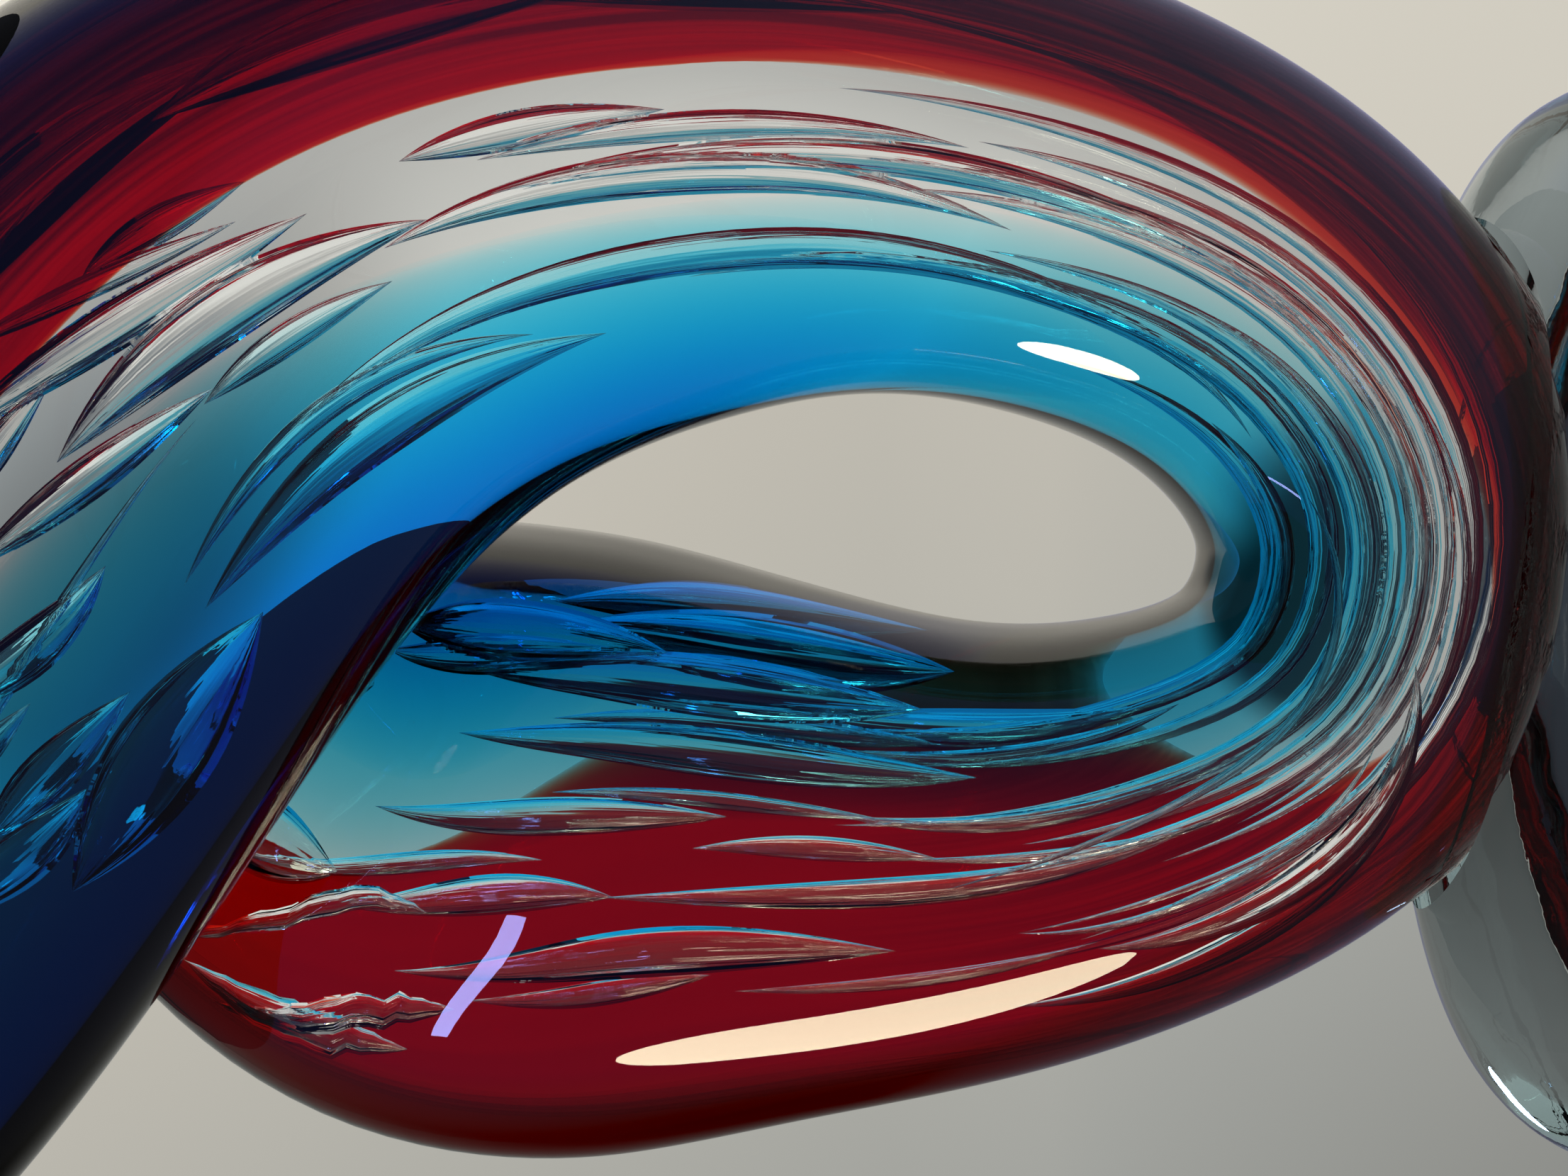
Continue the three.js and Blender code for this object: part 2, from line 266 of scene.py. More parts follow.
def ring_places(step_far, step_near):
    """Ring lengths, close together at the rounded tips and round the turn."""
    tip = TIP_LENGTH * np.linspace(0, 1, TIP_RINGS) ** 2
    places = list(tip)
    s = TIP_LENGTH
    while s < TOTAL - TIP_LENGTH:
        near = math.exp(-(((s - TURN_AT) / TURN_SPREAD) ** 2))
        s += step_far + (step_near - step_far) * near
        if s < TOTAL - TIP_LENGTH - step_near:
            places.append(s)
    places += list(TOTAL - tip[::-1])
    return np.array(places)


RINGS = ring_places(STEP_FAR, STEP_NEAR)
print("rings along the band:", len(RINGS))

# %% [markdown]
# From rings to a mesh
#
# The layers follow a path that twists and changes width at once, which no single Blender
# operator sweeps, so their rings are joined in mesh code. The caps are flat, like the
# ground facet on each tip. A colour's points also remember their place on the band, in
# an attribute that the drawn streaks are read from later.

# %% Ring mesh builder
SHARP_TURN = 40


def ring_mesh(name, rings, skin_flags, cap, places=None):
    """Closed mesh through rings of points; skin_flags marks the columns that face air."""
    count, width = rings.shape[:2]
    points = rings.reshape(-1, 3)
    r, k = np.meshgrid(np.arange(count - 1), np.arange(width), indexing="ij")
    nxt = (k + 1) % width
    here, there = r * width, (r + 1) * width
    quads = np.stack([here + k, here + nxt, there + nxt, there + k], -1)
    faces = [list(map(int, q)) for q in quads.reshape(-1, 4)]
    flags = list(np.tile(np.asarray(skin_flags, float), count - 1))
    last = (count - 1) * width
    if cap == "ladder":
        half = width // 2
        for i in range(half - 1):
            far = width - 1 - i
            faces.append([i, far, far - 1, i + 1])
            faces.append([last + i, last + i + 1, last + far - 1, last + far])
            flags += [1.0, 1.0]
    else:
        faces.append(list(range(width))[::-1])
        faces.append([last + i for i in range(width)])
        flags += [1.0, 1.0]
    mesh = bpy.data.meshes.new(name)
    mesh.from_pydata(points.tolist(), [], faces)
    outer = mesh.attributes.new("faces_air", "FLOAT", "FACE")
    outer.data.foreach_set("value", np.array(flags, np.float32))
    if places is not None:
        along = mesh.attributes.new("band_place", "FLOAT_VECTOR", "POINT")
        along.data.foreach_set("vector", places.astype(np.float32).ravel())
    obj = bpy.data.objects.new(name, mesh)
    bpy.context.scene.collection.objects.link(obj)
    return obj


def signed_volume(mesh):
    """Six times the mesh's signed volume, from its triangles."""
    mesh.calc_loop_triangles()
    points = np.array([v.co for v in mesh.vertices])
    tris = np.array([t.vertices for t in mesh.loop_triangles])
    a, b, c = points[tris[:, 0]], points[tris[:, 1]], points[tris[:, 2]]
    return float(np.einsum("ij,ij->i", a, np.cross(b, c)).sum())


def face_outwards(obj, hollow=False):
    """Turn all faces so that they point out of the glass."""
    if (signed_volume(obj.data) < 0) != hollow:
        obj.data.flip_normals()


def smooth_but_sharp(obj):
    """Smooth shading with sharp edges only where the skin meets a hidden face."""
    mesh = obj.data
    mesh.shade_smooth()
    bm = bmesh.new()
    bm.from_mesh(mesh)
    layer = bm.faces.layers.float["faces_air"]
    for edge in bm.edges:
        pair = edge.link_faces
        if len(pair) == 2:
            turned = pair[0].normal.angle(pair[1].normal, 0.0) > math.radians(SHARP_TURN)
            if pair[0][layer] != pair[1][layer] or turned:
                edge.smooth = False
    bm.to_mesh(mesh)
    bm.free()


# %% Ruby and aqua crescents
def crescent(name, first, columns, inner_share):
    """A crescent between two layer edges: out along the skin, back along the inside."""
    edges = frames(RINGS)[5]
    t = np.linspace(0, 1, columns + 1)
    low, high = edges[:, first:first + 1], edges[:, first + 1:first + 2]
    angle = low + (high - low) * t[None, :]
    share = np.ones_like(angle)
    inside = inner_share(t[None, :], RINGS[:, None])
    angles = np.concatenate([angle, angle[:, ::-1]], 1)
    shares = np.concatenate([share, inside[:, ::-1]], 1)
    s = np.broadcast_to(RINGS[:, None], angles.shape)
    rings = section_points(s, angles, shares)
    flags = [1.0] * columns + [0.0] * (columns + 2)
    from_edge = np.broadcast_to(np.concatenate([t, t[::-1]]) / MM, angles.shape)
    places = np.stack([s, angles * MEAN_RADIUS, from_edge], -1) * MM
    obj = ring_mesh(name, rings, flags, "ladder", places)
    face_outwards(obj)
    smooth_but_sharp(obj)
    return obj


ruby = crescent("ruby_glass", 0, RUBY_COLUMNS, ruby_inner)
aqua = crescent("aqua_glass", 2, AQUA_COLUMNS, aqua_inner)
print("ruby faces:", len(ruby.data.polygons), "aqua faces:", len(aqua.data.polygons))


# %% Clear glass between and within the colours
def clear_body():
    """The clear glass: everything in the section that is neither ruby nor aqua."""
    edges = frames(RINGS)[5]
    angles, shares, flags = [], [], []
    plan = [
        (RUBY_COLUMNS, ruby_inner),
        (REAR_COLUMNS, None),
        (AQUA_COLUMNS, aqua_inner),
        (FRONT_COLUMNS, None),
    ]
    for k, (columns, inner) in enumerate(plan):
        t = np.linspace(0, 1, columns + 1)
        low, high = edges[:, k:k + 1], edges[:, k + 1:k + 2]
        angle = low + (high - low) * t[None, :]
        share = np.ones_like(angle) if inner is None else inner(t[None, :], RINGS[:, None])
        angles.append(angle)
        shares.append(share)
        flags += [1.0 if inner is None else 0.0] * columns + [0.0]
    angle = np.concatenate(angles, 1)
    share = np.concatenate(shares, 1)
    pulled = np.where(share < 1, -SKIN_GAP, 0.0)
    s = np.broadcast_to(RINGS[:, None], angle.shape)
    rings = section_points(s, angle, share, pulled)
    obj = ring_mesh("clear_glass", rings, flags, "fan")
    face_outwards(obj)
    smooth_but_sharp(obj)
    return obj


clear = clear_body()
print("clear faces:", len(clear.data.polygons))

# %% [markdown]
# Trapped bubbles
#
# The core was pricked in staggered rows, and each prick closed into a pointed bubble
# when the next gather covered it. Where the band was pulled thin the bubbles are long
# threads, and in the thick tails they are short leaves. A bubble is a hollow, so its
# faces point into the air inside it, which is outwards from the glass. The rows seen
# from the front are measured: each bubble's tips and middle were picked by eye in the
# photograph, a separate script traced them through the band's surface and printed where
# they lie, and some values were then changed by hand. A row says where the bubble starts
# and ends along the band, its angle at the start, middle and end, its width and, where
# it lies at another depth, its share of the half size.

# %% Bubbles seen from the front
PRICKED = [
    [166, 205, -58, -74, -80, 3.8], [174, 199, -48, -64, -73, 2.1], [186, 202, -60, -63, -66, 2.9],
    [160, 177, -70, -70, -71, 2.6], [171, 216, -83, -88, -94, 4.8], [158, 186, -80, -91, -99, 3.2],
    [184, 209, -100, -102, -104, 2.5], [216, 246, -78, -79, -80, 3.1], [224, 283, -84, -86, -89, 2.6],
    [210, 291, -96, -100, -115, 3.7], [189, 341, -120, -127, -148, 3.7], [167, 224, -124, -122, -136, 2.1],
    [166, 235, -133, -138, -146, 5.0], [143, 165, -88, -101, -105, 4.1],
    [135, 169, -139, -139, -140, 10, 0.7],
    [136, 155, -118, -122, -128, 4.4], [127, 145, -119, -128, -134, 5.3], [134, 150, -100, -104, -108, 2.8],
    [224, 339, -93, -97, -102, 3.2], [269, 451, -97, -98, -98, 2.9], [275, 437, -106, -106, -107, 2.9],
    [284, 421, -86, -86, -87, 2.6], [266, 440, -74, -73, -71, 2.4], [288, 463, -124, -121, -117, 2.9],
    [247, 453, -132, -136, -139, 3.2], [305, 474, -166, -158, -150, 2.9], [319, 419, -120, -117, -114, 2.4],
    [315, 411, -98, -95, -91, 2.4], [338, 433, -86, -74, -62, 2.4], [334, 426, -157, -155, -152, 2.6],
    [445, 503, -171, -170, -169, 9.0, 0.72], [450, 516, -156, -155, -153, 6.7, 0.68],
    [493, 537, -161, -156, -153, 3.9, 0.7], [487, 535, -159, -161, -159, 7.5, 0.74],
    [452, 505, 160, 169, 178, 7.0, 0.72], [447, 503, -148, -150, -146, 2.7],
    [442, 518, -134, -138, -139, 5.1],
    [417, 473, -153, -155, -158, 4.4], [411, 465, -148, -142, -144, 1.9], [478, 532, -118, -116, -113, 3.8],
    [456, 503, -119, -123, -123, 1.8], [408, 463, -119, -116, -120, 2.1], [449, 483, -105, -109, -108, 2.5],
    [412, 454, -95, -101, -105, 1.2], [495, 535, -93, -93, -80, 4.2], [417, 497, -96, -93, -93, 3.3],
    [505, 554, -104, -97, -69, 2.3], [456, 527, -70, -75, -65, 5.6], [482, 518, -66, -62, -59, 2.8],
    [431, 479, -59, -56, -59, 1.6], [392, 440, -85, -65, -71, 1.4], [389, 443, -75, -43, -46, 3.2, 0.7],
    [382, 431, -91, -60, -63, 4.3, 0.7], [354, 448, -131, -113, -95, 1.2, 0.82],
]
WAVY = [
    [522, 554, -88, -79, -33, 3.2, 0.7], [519, 546, -65, -54, -25, 4.2, 0.74],
    [525, 550, -50, -44, -38, 5.0, 0.74],
]
print("bubbles seen from the front:", len(PRICKED) + len(WAVY))

# %% Bubbles on the other sides
THICK_BAND = 32
LEAF_LENGTH = 45
LEAF_WIDTH = 6.5
PULL_POWER = 4.5
LONGEST_THREAD = 150
ROW_STEP = 0.62
ROW_JITTER = 4
LENGTH_SPREAD = (0.85, 1.1)
DRIFT = 1.5
rng = np.random.default_rng(7)


def thickness(s):
    """Mean half thickness of the band."""
    here = frames(np.asarray(s, float))
    return np.sqrt(here[3] * here[4])


def regular_rows(first, last, angles):
    """Staggered rows of bubbles: wide and short in thick glass, narrow and long in thin."""
    rows = []
    s = first
    turn = 0
    while s < last:
        relative = float(thickness(s)) / THICK_BAND
        length = min(LEAF_LENGTH * relative ** -PULL_POWER, LONGEST_THREAD)
        width = LEAF_WIDTH * relative ** PULL_POWER
        for i, angle in enumerate(angles):
            if i % 2 == turn % 2:
                start = s + rng.uniform(-ROW_JITTER, ROW_JITTER)
                end = start + length * rng.uniform(*LENGTH_SPREAD)
                rows.append([start, end, angle, angle + DRIFT, angle + 2 * DRIFT, width])
        s += length * ROW_STEP
        turn += 1
    return rows


OUTER_ROWS = regular_rows(24, 400, [-38, 34])
FRONT_TIP_ROWS = regular_rows(22, 80, [-56, -80, -104, -128])
REAR_TIP_ROWS = regular_rows(538, 545, [-90, -120, -150, 180])
print("bubbles on the other sides:", len(OUTER_ROWS + FRONT_TIP_ROWS + REAR_TIP_ROWS))

# %% [markdown]
# A bubble's shape
#
# A bubble is a spindle of rings. Its wall has faint ribs, as the pricking tool leaves
# them, and its points remember their place round and along it, so that fine lines can
# run its whole length. The few bubbles of the rear tail that the tool dragged are wavy.

# %% Bubble shapes
BUBBLE_SHARE = 0.6
BUBBLE_SIDES = 16
BUBBLE_RIB = 0.06
LEAF_POWER = 1.9
LEAF_SKEW = 0.18
LEAST_RINGS = 19
RING_SPACING = 7
TIP_MARGIN = 4
LINES_ROUND = 2.4
LINE_LENGTH = 55
WAVE_SHIFT = 0.35
WAVE_RAGGED = 0.3


def roundness(width):
    """Depth of a bubble over its width: threads are round, leaves are flatter."""
    return 0.95 - 0.3 * min(width / 8, 1)


def spindle(start, end, first, middle, last, width, share=BUBBLE_SHARE, wave=0.0):
    """Rings of one bubble, pointed at both ends, its angle bent through first, middle, last."""
    count = LEAST_RINGS + 2 * int((end - start) / RING_SPACING)
    u = np.sin(np.linspace(-1, 1, count) * np.pi / 2)
    s = np.clip((start + end) / 2 + u * (end - start) / 2, TIP_MARGIN, TOTAL - TIP_MARGIN)
    thick = thickness(s)
    leaf = (1 - np.abs(u) ** LEAF_POWER) * (1 - LEAF_SKEW * u)
    bow = (first + last) / 2 - middle
    centre_line = np.radians(middle + (last - first) / 2 * u + bow * u * u)
    phi = np.linspace(0, 2 * np.pi, BUBBLE_SIDES + 1)[:-1]
    ribs = 1 + BUBBLE_RIB * (-1.0) ** np.arange(BUBBLE_SIDES)
    wobble = wave * rng.normal(0, WAVE_SHIFT, len(u)) * leaf
    across = 0.5 * width * leaf[:, None] * (ribs * np.cos(phi))[None, :] + wobble[:, None]
    ragged = 1 + wave * rng.uniform(-WAVE_RAGGED, WAVE_RAGGED, len(u))
    bulge = 0.5 * roundness(width) * width * (leaf * ragged)[:, None] * (ribs * np.sin(phi))[None, :]
    angle = centre_line[:, None] + across / (thick * share)[:, None]
    depth = share + bulge / thick[:, None]
    rings = section_points(np.broadcast_to(s[:, None], angle.shape), angle, depth)
    around = np.stack([np.cos(phi), np.sin(phi)], -1) * LINES_ROUND
    lengthwise = np.broadcast_to((s / LINE_LENGTH + first)[:, None, None], (len(s), BUBBLE_SIDES, 1))
    places = np.concatenate([lengthwise, np.broadcast_to(around, (len(s), BUBBLE_SIDES, 2))], -1)
    return rings, places


print("depth over width of a thread and a leaf:", roundness(0.0), roundness(8.0))


# %% One hollow mesh of all bubbles
def close_spindle(verts, faces, marks, bubble):
    """Add the faces of one bubble: tubes between rings and a fan at each point."""
    rings, places = bubble
    count, width = rings.shape[:2]
    start = len(verts)
    verts += rings[1:-1].reshape(-1, 3).tolist()
    verts += [rings[0, 0].tolist(), rings[-1, 0].tolist()]
    marks += places[1:-1].reshape(-1, 3).tolist()
    marks += [places[0, 0].tolist(), places[-1, 0].tolist()]
    first_tip, last_tip = len(verts) - 2, len(verts) - 1
    for a in range(count - 3):
        for k in range(width):
            nxt = (k + 1) % width
            row = start + a * width
            faces.append([row + k, row + nxt, row + width + nxt, row + width + k])
    end = start + (count - 3) * width
    for k in range(width):
        nxt = (k + 1) % width
        faces.append([first_tip, start + nxt, start + k])
        faces.append([last_tip, end + k, end + nxt])


def add_bubbles():
    """All bubbles as one hollow mesh."""
    verts, faces, marks = [], [], []
    for row in PRICKED + OUTER_ROWS + FRONT_TIP_ROWS + REAR_TIP_ROWS:
        close_spindle(verts, faces, marks, spindle(*row))
    for row in WAVY:
        close_spindle(verts, faces, marks, spindle(*row, wave=1.0))
    mesh = bpy.data.meshes.new("bubbles")
    mesh.from_pydata(verts, [], faces)
    flags = mesh.attributes.new("faces_air", "FLOAT", "FACE")
    flags.data.foreach_set("value", np.ones(len(faces), np.float32))
    lines = mesh.attributes.new("prick_place", "FLOAT_VECTOR", "POINT")
    lines.data.foreach_set("vector", np.array(marks, np.float32).ravel())
    mesh.shade_smooth()
    obj = bpy.data.objects.new("bubbles", mesh)
    bpy.context.scene.collection.objects.link(obj)
    face_outwards(obj, hollow=True)
    return obj


def merge(target, extra):
    """Join one object into another, keeping their attributes."""
    bpy.ops.object.select_all(action="DESELECT")
    extra.select_set(True)
    target.select_set(True)
    bpy.context.view_layer.objects.active = target
    bpy.ops.object.join()
    bpy.ops.object.select_all(action="DESELECT")


bubbles = add_bubbles()
print("bubble faces:", len(bubbles.data.polygons))
merge(clear, bubbles)

# %% [markdown]
# The clear base
#
# The base is a gather of clear glass pressed out into a low cushion, with the loop's
# turn sunk into it. It is built like a thrown form: a flat foot, extruded upwards and
# scaled at each height, then cut by the band itself. The faces that the cut leaves are
# fused to the band through the seam, so they get the same mask as the shared faces of
# the colour layers, and light goes straight through them.

# %% Base from extruded rings
BASE_HALF_WIDTH = 73
BASE_HALF_DEPTH = 45
BASE_HEIGHT = 49
BASE_WAIST = 12
BASE_FOOT = 0.88
BASE_SIDES = 128
FOOT_LEVELS = 10
DOME_LEVELS = 40
DOME_END = 40.5
WIDE_CURVE = (2.9, 2.3)
DEEP_CURVE = (1.7, 1.35)


def dome_share(t, curve):
    """Share of the half size left at the share t of the dome's height."""
    height_power, width_power = curve
    return (1 - t ** height_power) ** (1 / width_power)


def base_levels():
    """Height and half sizes of the base at rising levels."""
    levels = []
    for t in np.linspace(0, 1, FOOT_LEVELS):
        spread = BASE_FOOT + (1 - BASE_FOOT) * math.sin(t * math.pi / 2)
        levels.append((BASE_WAIST * t * t, BASE_HALF_WIDTH * spread, BASE_HALF_DEPTH * spread))
    rise = BASE_HEIGHT - BASE_WAIST
    for i in range(1, DOME_LEVELS + 1):
        t = math.sin(i / DOME_END * math.pi / 2)
        wide = BASE_HALF_WIDTH * dome_share(t, WIDE_CURVE)
        deep = BASE_HALF_DEPTH * dome_share(t, DEEP_CURVE)
        levels.append((BASE_WAIST + rise * t, wide, deep))
    return levels


def extruded_base():
    """A disc, extruded and scaled level by level as by hand."""
    levels = base_levels()
    bpy.ops.object.select_all(action="DESELECT")
    bpy.ops.mesh.primitive_circle_add(vertices=BASE_SIDES, radius=MM, fill_type="NGON", location=(0, 0, 0))
    obj = bpy.context.object
    obj.name = "base_glass"
    bpy.ops.object.mode_set(mode="EDIT")
    bpy.ops.mesh.select_all(action="SELECT")
    bpy.ops.transform.resize(value=(levels[0][1], levels[0][2], 1))
    for (z0, w0, d0), (z1, w1, d1) in zip(levels, levels[1:]):
        bpy.ops.mesh.extrude_region_move(TRANSFORM_OT_translate={"value": (0, 0, (z1 - z0) * MM)})
        bpy.ops.transform.resize(value=(w1 / w0, d1 / d0, 1))
    bpy.ops.mesh.select_all(action="SELECT")
    bpy.ops.mesh.normals_make_consistent(inside=False)
    bpy.ops.object.mode_set(mode="OBJECT")
    bpy.ops.object.select_all(action="DESELECT")
    return obj


base = extruded_base()
print("base levels:", len(base_levels()), "faces before the cut:", len(base.data.polygons))

# %% Cut for the band
SEAM_THICKNESS = 1.2
GAP = 0.3
CUTTER_REACH = 115
CUTTER_RINGS = 150
CUTTER_COLUMNS = 120
BASE_SHARP = 35


def band_cutter(grow):
    """The band's full section grown by a clearance, round the turn only."""
    places = np.linspace(TURN_AT - CUTTER_REACH, TURN_AT + CUTTER_REACH, CUTTER_RINGS)
    angle = np.linspace(0, 2 * np.pi, CUTTER_COLUMNS + 1)[:-1]
    s, a = np.meshgrid(places, angle, indexing="ij")
    rings = section_points(s, a, np.ones_like(a), grow)
    obj = ring_mesh("band_cutter", rings, [0.0] * CUTTER_COLUMNS, "fan")
    face_outwards(obj)
    return obj


def boolean(target, tool, operation):
    """Apply a boolean and delete the tool."""
    modifier = target.modifiers.new("cut", "BOOLEAN")
    modifier.object = tool
    modifier.operation = operation
    modifier.solver = "EXACT"
    bpy.context.view_layer.objects.active = target
    target.select_set(True)
    bpy.ops.object.modifier_apply(modifier=modifier.name)
    target.select_set(False)
    bpy.data.objects.remove(tool, do_unlink=True)


outside = base.data.attributes.new("faces_air", "FLOAT", "FACE")
outside.data.foreach_set("value", np.ones(len(base.data.polygons), np.float32))
boolean(base, band_cutter(2 * GAP + SEAM_THICKNESS), "DIFFERENCE")
base.data.shade_smooth()
bpy.context.view_layer.objects.active = base
base.select_set(True)
bpy.ops.object.shade_smooth_by_angle(angle=math.radians(BASE_SHARP))
base.select_set(False)
cut_faces = sum(1 for flag in base.data.attributes["faces_air"].data if flag.value < 0.5)
print("base faces:", len(base.data.polygons), "of which fused to the band:", cut_faces)

# %% [markdown]
# Glass materials
#
# Glass is colourless on its surface and coloured inside: the light that goes through it
# loses some of its colours along the way, so a thin edge of ruby is orange and a thick
# part almost black. The colour is therefore an absorption in the volume. The index of
# refraction is 1.5 on faces that meet air and 1 on faces shared by two glasses. Lamps
# shine straight through, tinted by the volume, so the floor gets a soft coloured shadow.
# A few small helpers place the nodes, so that each material reads as a short recipe.


# %% Node helpers
def feed(links, socket, value):
    """Set a socket to a number or a colour, or link another node's output to it."""
    if isinstance(value, bpy.types.NodeSocket):
        links.new(value, socket)
    else:
        socket.default_value = value


def add_math(tree, operation, first, second):
    """A math node on two numbers or outputs."""
    node = tree.nodes.new("ShaderNodeMath")
    node.operation = operation
    feed(tree.links, node.inputs[0], first)
    feed(tree.links, node.inputs[1], second)
    return node.outputs[0]


def add_vector_math(tree, operation, *values):
    """A vector math node; its outputs are Vector and Value."""
    node = tree.nodes.new("ShaderNodeVectorMath")
    node.operation = operation
    for socket, value in zip(node.inputs, values):
        feed(tree.links, socket, value)
    return node.outputs


def add_range(tree, value, start, end, low=0.0, high=1.0, curve="LINEAR"):
    """A node that takes start..end to low..high."""
    node = tree.nodes.new("ShaderNodeMapRange")
    node.interpolation_type = curve
    names = ("Value", "From Min", "From Max", "To Min", "To Max")
    for name, given in zip(names, (value, start, end, low, high)):
        feed(tree.links, node.inputs[name], given)
    return node.outputs["Result"]


def add_noise(tree, place, scale, detail):
    """Soft noise, from 0 to 1."""
    node = tree.nodes.new("ShaderNodeTexNoise")
    for name, given in zip(("Vector", "Scale", "Detail"), (place, scale, detail)):
        feed(tree.links, node.inputs[name], given)
    return node.outputs["Fac"]


def add_attribute(tree, name):
    """The outputs of an attribute that the mesh carries."""
    node = tree.nodes.new("ShaderNodeAttribute")
    node.attribute_name = name
    return node.outputs


def add_bump(tree, height, distance, normal=None):
    """A bump, on top of another normal if one is given."""
    node = tree.nodes.new("ShaderNodeBump")
    node.inputs["Distance"].default_value = distance
    tree.links.new(height, node.inputs["Height"])
    if normal is not None:
        tree.links.new(normal, node.inputs["Normal"])
    return node.outputs["Normal"]


def new_group(name, inputs, output, kind):
    """An empty node group with number inputs and one output: the tree, its inputs, its result."""
    group = bpy.data.node_groups.new(name, "ShaderNodeTree")
    for label in inputs:
        group.interface.new_socket(label, in_out="INPUT", socket_type="NodeSocketFloat")
    group.interface.new_socket(output, in_out="OUTPUT", socket_type=kind)
    given = group.nodes.new("NodeGroupInput").outputs
    result = group.nodes.new("NodeGroupOutput").inputs[output]
    return group, given, result


def place_group(tree, group, **values):
    """A group placed in a material with its own values, named with _ for a space."""
    node = tree.nodes.new("ShaderNodeGroup")
    node.node_tree = group
    for name, value in values.items():
        node.inputs[name.replace("_", " ")].default_value = value
    return node.outputs[0]


print("node helpers ready")

# %% [markdown]
# Surface and streaks
#
# Fire polish leaves slow ripples and a fine grain, which every piece of this object has,
# so they are one group. The ruby was pulled along the band while it was soft, and its
# dark streaks follow the pull. They read the place that each point remembers, stretched
# so that the noise becomes long lines, and they leave out the thin lip.

# %% Hand-worked surface
GRAIN_SCALE = 260.0


def worked_surface():
    """Group: slow ripples and a fine grain of a fire-polished surface, as a height."""
    group, given, height = new_group(
        "fire_polished_surface", ("Ripple Size", "Grain"), "Height", "NodeSocketFloat")
    place = group.nodes.new("ShaderNodeTexCoord").outputs["Object"]
    ripple = add_noise(group, place, given["Ripple Size"], 2.0)
    grain = add_noise(group, place, GRAIN_SCALE, 3.0)
    grain = add_math(group, "MULTIPLY", grain, given["Grain"])
    group.links.new(add_math(group, "ADD", ripple, grain), height)
    return group


SURFACE = worked_surface()
print("surface group nodes:", len(SURFACE.nodes))

# %% Drawn streaks
STREAK_STRETCH = (0.014, 1.0, 0.0)
STREAK_NOISE = (0.40, 0.62)
STREAK_FADED = 0.85
LIP_CLEAR = (0.03, 0.10)


def drawn_streaks():
    """Group: fine lines that run along the band, read from its band_place attribute."""
    names = ("Fineness", "Darkest", "Fade Start", "Fade End")
    group, given, colour = new_group("drawn_streaks", names, "Color", "NodeSocketColor")
    place = add_attribute(group, "band_place")["Vector"]
    stretched = add_vector_math(group, "MULTIPLY", place, STREAK_STRETCH)["Vector"]
    lines = add_noise(group, stretched, given["Fineness"], 5.0)
    level = add_range(group, lines, *STREAK_NOISE, given["Darkest"])
    split = group.nodes.new("ShaderNodeSeparateXYZ")
    group.links.new(place, split.inputs["Vector"])
    along, _, from_edge = split.outputs
    faded = add_range(group, along, given["Fade Start"], given["Fade End"], level, STREAK_FADED)
    group.links.new(add_range(group, from_edge, *LIP_CLEAR, 1.0, faded), colour)
    return group


STREAKS = drawn_streaks()
print("streak group nodes:", len(STREAKS.nodes))

# %% Glass maker
GLASS_SURFACE = {
    "Base Color": (1, 1, 1, 1), "Metallic": 0.0, "Transmission Weight": 1.0,
    "IOR": 1.5, "Roughness": 0.0,
}
GRAIN = 0.02


def glass(name, tint, density, ripple_size, ripple_depth, masked=True, darkest=None, pricked=0.0):
    """Principled glass with absorption inside and a worked surface."""
    material = bpy.data.materials.new(name)
    material.use_nodes = True
    tree = material.node_tree
    nodes, links = tree.nodes, tree.links
    body = nodes["Principled BSDF"]
    for label, value in GLASS_SURFACE.items():
        body.inputs[label].default_value = value
    height = place_group(tree, SURFACE, Ripple_Size=ripple_size, Grain=GRAIN)
    normal = add_bump(tree, height, ripple_depth)
    if pricked > 0:
        lines = add_noise(tree, add_attribute(tree, "prick_place")["Vector"], 1.0, 2.0)
        normal = add_bump(tree, lines, pricked, normal)
    links.new(normal, body.inputs["Normal"])
    if darkest is not None:
        streaks = place_group(tree, STREAKS, Fineness=700, Darkest=darkest, Fade_Start=0.40, Fade_End=0.47)
        links.new(streaks, body.inputs["Base Color"])
    if masked:
        index = add_range(tree, add_attribute(tree, "faces_air")["Fac"], 0.0, 1.0, 1.0, 1.5)
        links.new(index, body.inputs["IOR"])
    rays = nodes.new("ShaderNodeLightPath").outputs
    through = nodes.new("ShaderNodeBsdfTransparent")
    mix = nodes.new("ShaderNodeMixShader")
    links.new(rays["Is Shadow Ray"], mix.inputs["Fac"])
    links.new(body.outputs["BSDF"], mix.inputs[1])
    links.new(through.outputs["BSDF"], mix.inputs[2])
    output = nodes["Material Output"]
    links.new(mix.outputs["Shader"], output.inputs["Surface"])
    if density > 0:
        absorb = nodes.new("ShaderNodeVolumeAbsorption")
        absorb.inputs["Color"].default_value = (*tint, 1)
        absorb.inputs["Density"].default_value = density
        links.new(absorb.outputs["Volume"], output.inputs["Volume"])
    return material


# %% [markdown]
# Five glasses
#
# Only the tint and the density tell the glasses apart. The ruby lets red through and
# stops almost all blue, and the aqua stops all red. The clear glass is faintly blue,
# which shows only over long ways. Its hollows get fine lines along the bubbles. The base
# has slow deep ripples, and the seam's index is low, because it joins two glasses.

